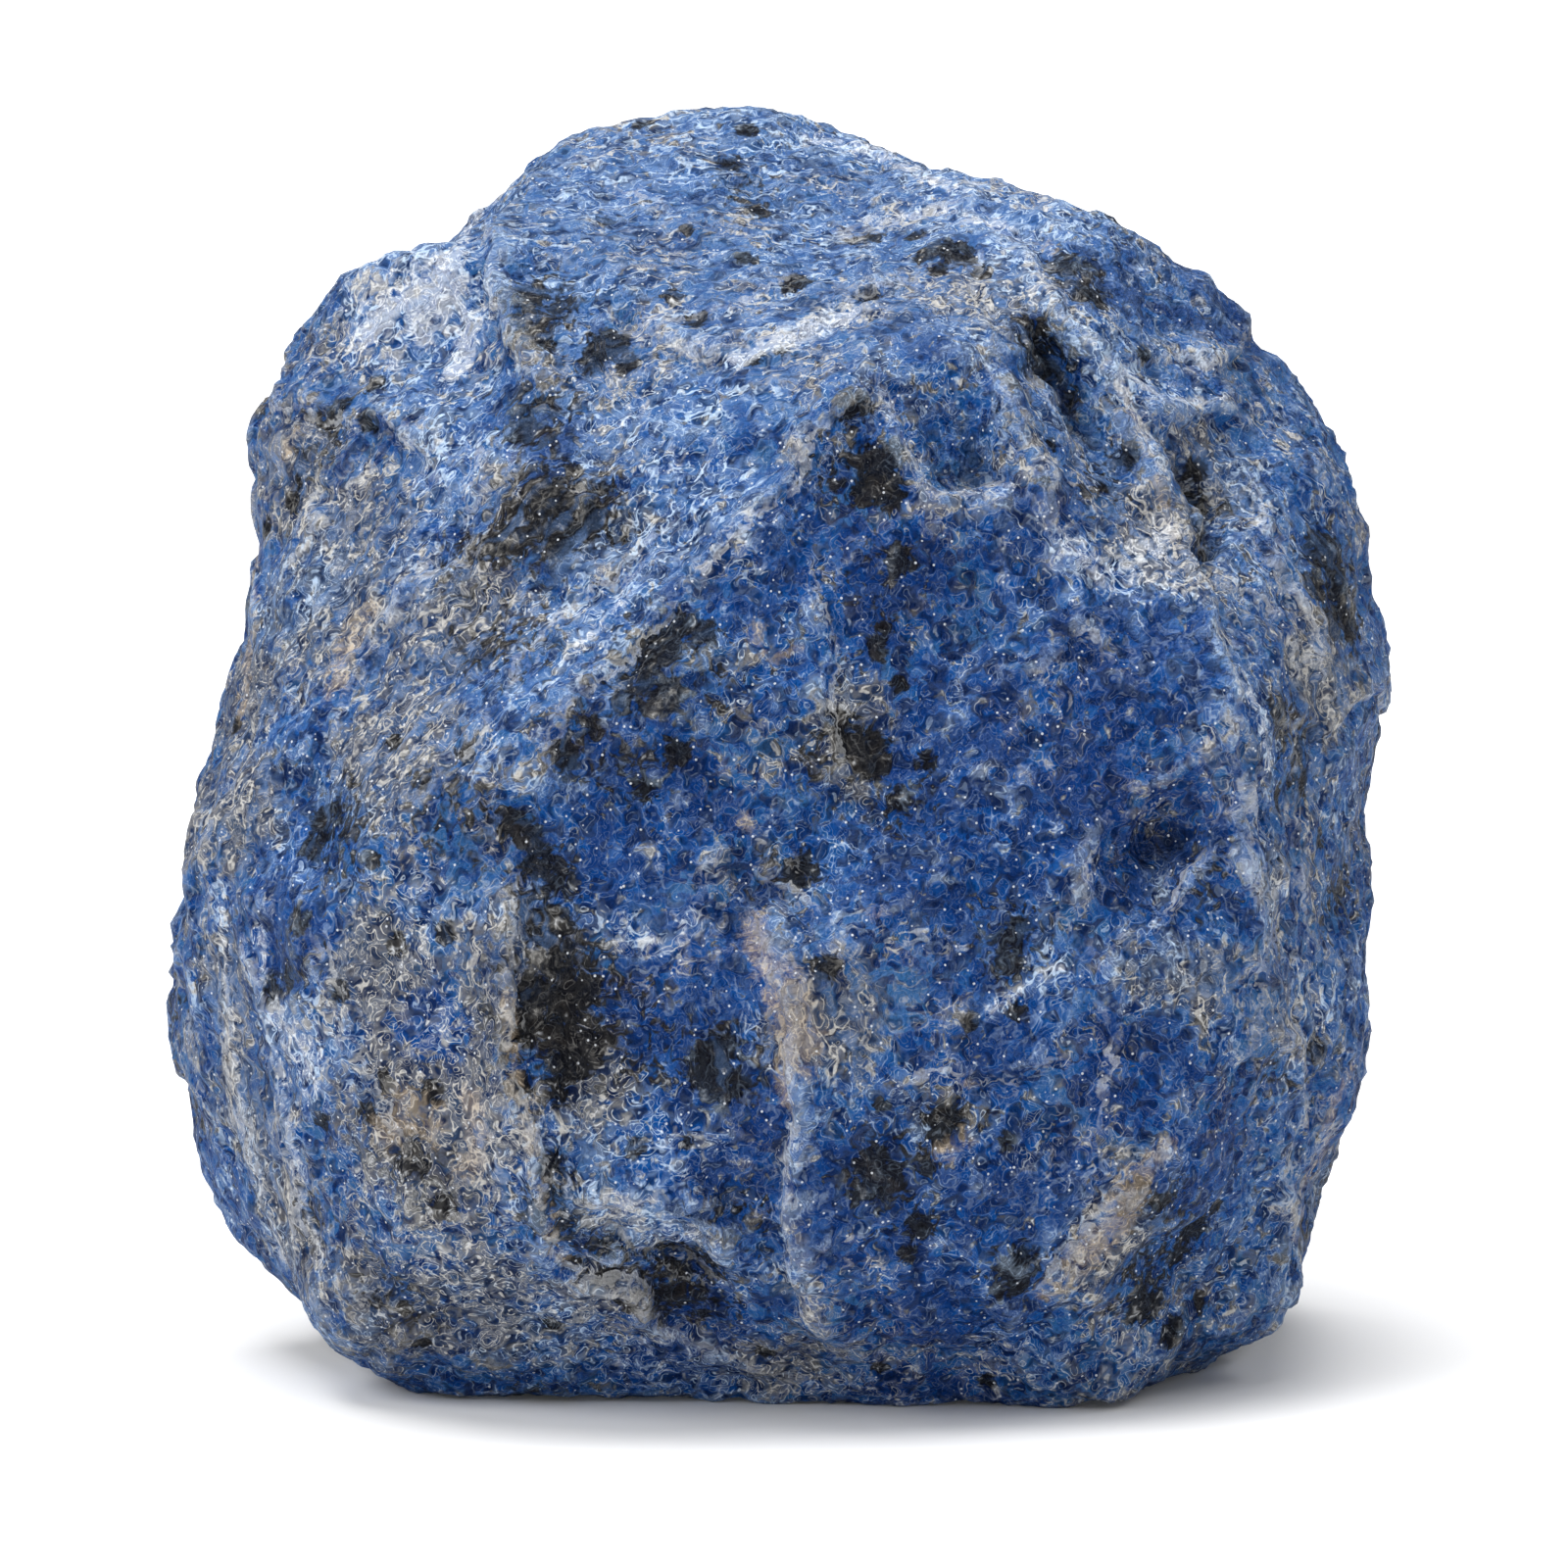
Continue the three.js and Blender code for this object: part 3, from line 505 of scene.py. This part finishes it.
GREY_ZONES = [(350, 600, 5), (470, 620, 4), (400, 760, 4), (560, 520, 4), (440, 1130, 5), (380, 1000, 3), (540, 1010, 4),
              (600, 1090, 3), (640, 1340, 4), (500, 1330, 4), (400, 1340, 4), (760, 1380, 3), (1180, 560, 3), (1340, 700, 3), (1300, 900, 2),
              (830, 1040, 3), (960, 1160, 3), (1130, 1250, 4), (250, 1150, 4),
              (260, 700, 4), (240, 820, 3), (236, 1000, 3), (290, 1250, 4), (1010, 310, 3), (880, 760, 3), (300, 480, 3), (1210, 500, 3), (1200, 980, 3)]
DEEP_ZONES = [(650, 800, 4), (790, 570, 2.5), (700, 1010, 4), (870, 1240, 4), (1050, 560, 2.5), (1140, 700, 4),
              (1040, 1220, 4), (960, 900, 4), (1180, 870, 4), (290, 950, 3), (760, 1180, 4), (620, 880, 3),
              (1150, 1090, 3), (940, 340, 2), (1100, 820, 4), (1000, 760, 4), (900, 590, 3), (700, 1360, 4),
              (1240, 1180, 3), (960, 1340, 4), (440, 1060, 2), (560, 460, 2), (1140, 290, 2), (1000, 1080, 3)]
# The rock is drawn out in places, so that its threads run one way: level, up to the right, down to the
# right, or steeply down. Pixel, and radius in millimetres.
STREAKS = {
    "level": [(700, 180, 8), (820, 230, 8), (900, 260, 7), (600, 230, 6), (760, 320, 6), (880, 180, 6),
              (640, 1240, 3), (700, 960, 3), (900, 980, 3)],
    "rising": [(420, 560, 8), (540, 620, 8), (650, 500, 7), (360, 700, 6), (470, 720, 7), (420, 400, 6),
               (560, 430, 6), (420, 290, 4), (1040, 1000, 3), (1120, 1260, 4)],
    "falling": [(1010, 250, 5), (1080, 340, 5), (1150, 430, 5), (1210, 520, 5), (1060, 480, 4), (1240, 620, 5),
                (1280, 420, 5), (1330, 560, 5), (1280, 720, 4)],
    "steep": [(230, 1000, 5), (260, 1150, 5), (300, 1260, 5), (300, 900, 4), (540, 1200, 3), (800, 1060, 4),
              (810, 1280, 4), (1290, 960, 5), (1340, 800, 5), (1340, 1000, 5), (1290, 1180, 4), (240, 800, 4),
              (520, 950, 3), (280, 560, 5)],
}
BACK_STREAKS = 9
BACK_CLUSTERS = 150
BACK_VEINS = 34
BACK_ZONES = 26

co = places()
out = normals()
seen = in_picture(co)
front = np.where(out @ np.array(to_viewer) > 0.12)[0]
nearby = kdtree.KDTree(len(co))
for i, place in enumerate(co):
    nearby.insert(place, i)
nearby.balance()


def on_front(px, py):
    """The place on the stone that is seen at a pixel of the photograph."""
    off = seen[front] - (px, py)
    return Vector(co[front[np.argmin(off[:, 0] ** 2 + off[:, 1] ** 2)]])


def dab(amounts, place, radius_mm, strength=1.0):
    """Raises an amount round a place on the stone, most in the middle."""
    reach = radius_mm * 0.0016
    for _, i, far in nearby.find_range(place, reach):
        amounts[i] = max(amounts[i], strength * (1 - (far / reach) ** 2))


def vein(amounts, width_mm, line, strength):
    """A run of dabs along a line of pixels."""
    for (x0, y0), (x1, y1) in zip(line, line[1:] or line):
        dabs = max(1, round(math.hypot(x1 - x0, y1 - y0) / (4 * width_mm + 2)))
        for k in range(dabs + 1):
            dab(amounts, on_front(x0 + (x1 - x0) * k / dabs, y0 + (y1 - y0) * k / dabs), width_mm, strength)


dark, white, tan, grey, deep = (np.zeros(len(co)) for _ in range(5))
for cluster in DARK_CLUSTERS.values():
    for px, py, radius in cluster:
        dab(dark, on_front(px, py), radius)
for px, py, radius, strength in SMUDGES:
    dab(dark, on_front(px, py), radius, strength)
for width, strength, line in WHITE_VEINS.values():
    vein(white, width, line, strength)
for width, strength, line in TAN_VEINS.values():
    vein(tan, width, line, strength)
# The hazes along the foot are painted light on its downward-facing side.
for px, py, radius, strength in HAZES_AND_FOOT_LIGHT:
    dab(white, on_front(px, py), radius, strength)
for px, py, radius in GREY_ZONES:
    dab(grey, on_front(px, py), radius)
for px, py, radius in DEEP_ZONES:
    dab(deep, on_front(px, py), radius)

streaks = {way: np.zeros(len(co)) for way in STREAKS}
for way, zones in STREAKS.items():
    for px, py, radius in zones:
        dab(streaks[way], on_front(px, py), radius)

behind = np.where(out @ np.array(to_viewer) < 0.1)[0]


def somewhere_behind():
    return Vector(co[behind[chance.randrange(len(behind))]])


for _ in range(BACK_CLUSTERS):
    place = somewhere_behind()
    dab(dark, place, between(1.5, 3), 0.4)
    for _ in range(chance.randint(1, 4)):
        dab(dark, place, 0.4 + 0.9 * chance.random() ** 2)
        place += Vector([chance.uniform(-0.0016, 0.0016) for _ in range(3)])
for k in range(BACK_VEINS):
    place = somewhere_behind()
    course = Vector([chance.uniform(-1, 1) for _ in range(3)]).normalized() * 0.0006
    for _ in range(chance.randint(4, 16)):
        dab(white if k % 2 else tan, place, 0.3 + 0.4 * chance.random(), 0.8)
        course = (course + Vector([chance.uniform(-2e-4, 2e-4) for _ in range(3)])).normalized() * 0.0006
        place = nearby.find(place + course)[0]
for k in range(BACK_ZONES):
    dab(grey if k % 2 else deep, somewhere_behind(), chance.uniform(2.5, 5))

for way in STREAKS:
    for _ in range(BACK_STREAKS):
        dab(streaks[way], somewhere_behind(), between(4, 8))

# Edges that stand proud are bruised pale, and hollows are darkened as painted shade: both follow from
# how far a place stands out of its smoothed surroundings, near and wide.
edges = np.empty(len(stone.data.edges) * 2, np.int32)
stone.data.edges.foreach_get("vertices", edges)
edges = edges.reshape(-1, 2)
degree = np.bincount(edges.ravel(), minlength=len(co))[:, None]


def smoothed(points, passes):
    for _ in range(passes):
        around = np.stack([np.bincount(edges[:, 0], axis[edges[:, 1]], len(points))
                           + np.bincount(edges[:, 1], axis[edges[:, 0]], len(points)) for axis in points.T], 1)
        points = 0.5 * points + 0.5 * around / degree
    return points


near_smooth = smoothed(co, 10)
proud_near = ((co - near_smooth) * out).sum(1) / 0.0002
proud_wide = ((co - smoothed(near_smooth, 60)) * out).sum(1) / 0.0008
upward = smoothed(out, 30)[:, 2]
for name, amounts in [("dark", dark), ("white", white), ("tan", tan), ("grey", grey), ("deep", deep),
                      ("proud_near", proud_near), ("proud_wide", proud_wide), ("upward", upward),
                      ("seam", seam), ("seam_show", seam_show), *streaks.items()]:
    stone.data.attributes.new(name, "FLOAT", "POINT").data.foreach_set("value", amounts.astype(np.float32))


# The rock's look: a sugary mass of blue grains with pale threads curling through it, clouded with slate
# and white, with black grains, tan veins and small bright dots that are painted glints. It is dull, with a faint waxy
# gloss.
def paint(red, green, blue):
    """A colour as it is written for screens, 0 to 255, made linear."""
    return tuple(((c / 255 + 0.055) / 1.055) ** 2.4 for c in (red, green, blue)) + (1,)


NIGHT_BLUE = paint(3, 16, 44)
DEEP_BLUE = paint(0, 39, 92)
ROYAL_BLUE = paint(0, 61, 124)
DUSTY_BLUE = paint(38, 78, 122)
HAZE_AND_TOP_LIGHT_BLUE = paint(76, 106, 150)
SLATE = paint(40, 48, 62)
ASH = paint(82, 86, 94)
THREAD = paint(160, 180, 204)
CREAM = paint(168, 166, 162)
QUARTZ = paint(202, 206, 212)
TAN = paint(166, 150, 130)
BLACK = paint(10, 10, 12)
UMBER = paint(28, 25, 22)


class Shade:
    """One output of a node in the rock's material. Sums of it add the Math nodes that work them out."""

    tree = None

    def __init__(self, node, output=0):
        self.maker = node
        self.output = node.outputs[output]

    @classmethod
    def node(cls, kind, settings, sockets, output=0):
        node = cls.tree.nodes.new(kind)
        for name, value in settings.items():
            setattr(node, name, value)
        for name, value in sockets.items():
            if isinstance(value, Shade):
                cls.tree.links.new(value.output, node.inputs[name])
            else:
                node.inputs[name].default_value = value
        return cls(node, output) if len(node.outputs) else None

    def also(self, output):
        return Shade(self.maker, output)

    def sum(self, operation, first, second):
        return Shade.node("ShaderNodeMath", {"operation": operation}, {0: first, 1: second})

    def __add__(self, other):
        return self.sum("ADD", self, other)

    __radd__ = __add__

    def __sub__(self, other):
        return self.sum("SUBTRACT", self, other)

    def __rsub__(self, other):
        return self.sum("SUBTRACT", other, self)

    def __mul__(self, other):
        return self.sum("MULTIPLY", self, other)

    __rmul__ = __mul__


rock = bpy.data.materials.new("dumortierite")
rock.use_nodes = True
rock.node_tree.nodes.clear()
Shade.tree = rock.node_tree


def amount(name):
    return Shade.node("ShaderNodeAttribute", {"attribute_name": name}, {}, "Fac")


def rise(value, low, high):
    """0 below low, 1 above high, and smooth between."""
    return Shade.node("ShaderNodeMapRange", {"interpolation_type": "SMOOTHSTEP"},
                      {"Value": value, "From Min": low, "From Max": high})


def blend(share, first, second):
    return Shade.node("ShaderNodeMix", {"data_type": "RGBA", "clamp_factor": True},
                      {0: share, 6: first, 7: second}, 2)


def vector(operation, first, second):
    return Shade.node("ShaderNodeVectorMath", {"operation": operation}, {0: first, 1: second})


def clouds(where, size_mm, detail=0.0, output=0):
    return Shade.node("ShaderNodeTexNoise", {}, {"Vector": where, "Scale": 1 / size_mm, "Detail": detail,
                      "Roughness": 0.6}, output)


def curls(value, turns, whole):
    """Thin lines along the contours of a cloud, left out where nothing is whole."""
    wave = Shade.node("ShaderNodeMath", {"operation": "SINE"}, {0: value * turns})
    return rise(wave, 0.76, 1.0) * whole


place = Shade.node("ShaderNodeTexCoord", {}, {}, "Object")
mm = vector("MULTIPLY", place, (1000, 1000, 1000))
swirl = vector("SUBTRACT", clouds(mm, 0.8, output="Color"), (0.5, 0.5, 0.5))
curl = vector("ADD", mm, vector("MULTIPLY", swirl, (0.9, 0.9, 0.9)))


def drawn(degrees):
    """The place, pressed together along a line that rises by so many degrees to the right."""
    return Shade.node("ShaderNodeMapping", {"vector_type": "TEXTURE"},
                      {"Vector": curl, "Rotation": (0, math.radians(-degrees), 0), "Scale": (4.5, 1, 1)})


def turned_to(way, now, degrees):
    return Shade.node("ShaderNodeMix", {"data_type": "VECTOR"},
                      {0: rise(amount(way), 0.15, 0.3), 4: now, 5: drawn(degrees)}, 1)


drawn_out = turned_to("steep", turned_to("falling", turned_to("level", drawn(46), 7), -58), -82)
streaky = amount("level") + amount("rising") + amount("falling") + amount("steep")

patches = clouds(mm, 2.8, detail=3)
mottle = clouds(curl, 1.2, detail=2)
wide = clouds(mm, 8, detail=1)
ragged = clouds(curl, 0.6, detail=2)
grains = Shade.node("ShaderNodeTexVoronoi", {}, {"Vector": curl, "Scale": 1 / 0.7})
grain_tone = Shade.node("ShaderNodeSeparateColor", {}, {"Color": grains.also("Color")}, 0)

coarse = clouds(curl, 0.9)
fine = clouds(mm, 0.45)
streak_value = clouds(drawn_out, 0.9, detail=1)
coarse_light = curls(coarse, 30, rise(fine, 0.38, 0.50))
fine_light = curls(fine, 28, rise(coarse, 0.40, 0.52))
streak_light = curls(streak_value, 18, rise(fine, 0.34, 0.46))
streak_share = rise(streaky, 0.05, 0.6)

blue = blend(rise(mottle * 0.55 + patches * 0.45 + grain_tone * 0.28 - amount("deep") * 0.16, 0.44, 0.72),
             DEEP_BLUE, ROYAL_BLUE)
blue = blend(rise(wide * 0.4 + mottle * 0.6 + grain_tone * 0.28 - amount("deep") * 0.2, 0.55, 0.84),
             blue, DUSTY_BLUE)
stony = blend(rise(ragged, 0.42, 0.66), SLATE, ASH)
greyness = rise(patches * 0.5 + ragged * 0.35 + wide * 0.15 + amount("grey") * 0.2 - amount("deep") * 0.2,
                0.50, 0.66)
base = blend(greyness * 0.8, blue, stony)
# Faces that look upwards are made paler towards a pale blue: painted light from above.
painted_top_light = rise(amount("upward") + (patches - 0.5) * 0.8, 0.25, 1.05)
base = blend(painted_top_light * 0.42, base, HAZE_AND_TOP_LIGHT_BLUE)
base = blend(rise(grain_tone * 0.5 + ragged * 0.5, 0.42, 0.22) * 0.6, base, NIGHT_BLUE)
base = blend(rise(coarse, 0.44, 0.34) * 0.6, base, NIGHT_BLUE)
halo = rise(amount("dark") + (mottle - 0.5) * 1.2, 0.05, 0.9)
base = blend(halo * 0.45, base, NIGHT_BLUE)

flecks = rise(patches * 0.35 + ragged * 0.65 + greyness * 0.04, 0.585, 0.66) * 0.85
dark_share = rise(amount("dark") * 1.45 + (ragged - 0.5) * 2.4 + (mottle - 0.5) * 1.2, 0.36, 0.86)
sooty = blend(rise(mottle, 0.50, 0.70), BLACK, UMBER)
base = blend(flecks, base, blend(rise(grain_tone, 0.4, 0.6), NIGHT_BLUE, UMBER))
base = blend(dark_share * 0.94, base, sooty)

paleness = rise(patches * 0.5 + mottle * 0.5 + amount("white") * 0.3 + amount("grey") * 0.08
                - amount("deep") * 0.08 - dark_share * 0.12 + painted_top_light * 0.08, 0.42, 0.66)
rims = rise(grains, 0.44, 0.62)
net = rims * 0.2 + (coarse_light + fine_light * 0.6) * (1 - streak_share * 0.3) + streak_light * streak_share
thread = blend(rise(mottle * 0.5 + wide * 0.5 + greyness * 0.12, 0.47, 0.62), THREAD, CREAM)
base = blend(rise(streak_value, 0.5, 0.68) * streak_share * (paleness * 0.5 + 0.2), base, HAZE_AND_TOP_LIGHT_BLUE)
colour = blend(net * (paleness * 0.66 + 0.13) * (1 - dark_share * 0.55), base, thread)
fibrous = coarse_light * 0.5 + fine_light * 0.4 + streak_light * 0.3 + 0.4

tan_share = rise(amount("tan") + (ragged - 0.5) * 2.0, 0.35, 1.0)
colour = blend(tan_share * fibrous * 0.7, colour, TAN)
white_share = rise(amount("white") + (ragged - 0.5) * 2.4 + (mottle - 0.5) * 0.8, 0.38, 1.1)
colour = blend(white_share * fibrous * 0.9, colour, QUARTZ)
along_seam = amount("seam") + (mottle - 0.5) * 1.4 + (ragged - 0.5) * 0.7
fibres = curls(along_seam, 9, 1)
crest = 1 - rise(Shade.node("ShaderNodeMath", {"operation": "ABSOLUTE"}, {0: along_seam}), 0.05, 0.22)
seam_share = (fibres * 0.5 + crest * 0.5) * amount("seam_show") * rise(patches, 0.38, 0.56)
colour = blend(seam_share * 0.7, colour, blend(wide, CREAM, QUARTZ))
bruised = rise(amount("proud_near") + (ragged - 0.5) * 2.4 + (patches - 0.5) * 2, 0.3, 1.3)
colour = blend(bruised * fibrous * 0.42, colour, thread)
# Hollows are blended towards black: painted shade in the recesses.
painted_hollow_shade = rise(amount("proud_wide") * -1 + (mottle - 0.5) * 0.4, 0.25, 1.4)
colour = blend(painted_hollow_shade * 0.6, colour, BLACK)

# The small bright dots are painted glints: pale specks, a little smoother than the rest.
glint_cells = Shade.node("ShaderNodeTexVoronoi", {}, {"Vector": mm, "Scale": 1 / 0.5})
lit = Shade.node("ShaderNodeSeparateColor", {}, {"Color": glint_cells.also("Color")}, 1)
painted_glints = (1 - rise(glint_cells, 0.10, 0.19)) * rise(lit, 0.62, 0.64)
colour = blend(painted_glints * 0.7, colour, QUARTZ)

relief = clouds(mm, 0.28, detail=1) + fine * 0.5
bump = Shade.node("ShaderNodeBump", {}, {"Height": relief, "Distance": 0.00028, "Strength": 1.0})
gloss = 0.5 - dark_share * 0.1 + net * 0.1 - painted_glints * 0.2
surface = Shade.node("ShaderNodeBsdfPrincipled", {}, {"Base Color": colour, "Roughness": gloss,
                     "Specular IOR Level": 0.045, "Normal": bump})
Shade.node("ShaderNodeOutputMaterial", {}, {"Surface": surface})

stone.data.materials.clear()
stone.data.materials.append(rock)
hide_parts("stone")
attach(stone, "root")


# The floor is a plain white sheet, far wider than the picture.
bpy.ops.mesh.primitive_plane_add(size=8, location=(0, 0, 0))
floor = bpy.context.active_object
floor.name = "floor"
paper = bpy.data.materials.new("white_paper")
paper.use_nodes = True
paper.node_tree.nodes["Principled BSDF"].inputs["Base Color"].default_value = (0.9, 0.9, 0.9, 1)
paper.node_tree.nodes["Principled BSDF"].inputs["Roughness"].default_value = 0.9
floor.data.materials.append(paper)


# The light is a large soft box overhead, one on the left that shows the shapes, and two weak ones
# on the right and in front, in a white room.
def soft_box(name, at, size, power):
    bpy.ops.object.light_add(type="AREA", location=at)
    box = bpy.context.active_object
    box.name = name
    box.data.shape = "DISK"
    box.data.size = size
    box.data.energy = power
    box.rotation_euler = (STONE_MIDDLE - Vector(at)).to_track_quat("-Z", "Y").to_euler()


soft_box("top_box", (-0.3, 0.15, 2.9), 2.8, 124)
soft_box("left_box", (-1.5, -0.95, 1.45), 1.2, 31)
soft_box("right_box", (1.3, 0.1, 1.5), 0.9, 7)
soft_box("front_box", (0, -2.0, 0.1), 0.8, 15)
room = bpy.data.worlds.new("white_room")
room.use_nodes = True
room.node_tree.nodes["Background"].inputs["Color"].default_value = (1, 1, 1, 1)
room.node_tree.nodes["Background"].inputs["Strength"].default_value = 0.32
bpy.context.scene.world = room
bpy.context.scene.view_settings.view_transform = "Standard"


# The camera stands as the photograph's did: straight in front, ten degrees up, with a long lens.
SENSOR = 0.036
camera_place = STONE_MIDDLE + to_right * AIM_RIGHT + upwards * AIM_UP + to_viewer * VIEWER_AWAY
bpy.ops.object.camera_add(location=camera_place, rotation=(math.pi / 2 - LOOK_DOWN, 0, 0))
camera = bpy.context.active_object
camera.data.sensor_width = SENSOR * 1000
camera.data.lens = SENSOR * 1000 * VIEWER_AWAY * PIXELS_PER_METRE / PICTURE_SIDE
camera.data.clip_end = 20
bpy.context.scene.camera = camera
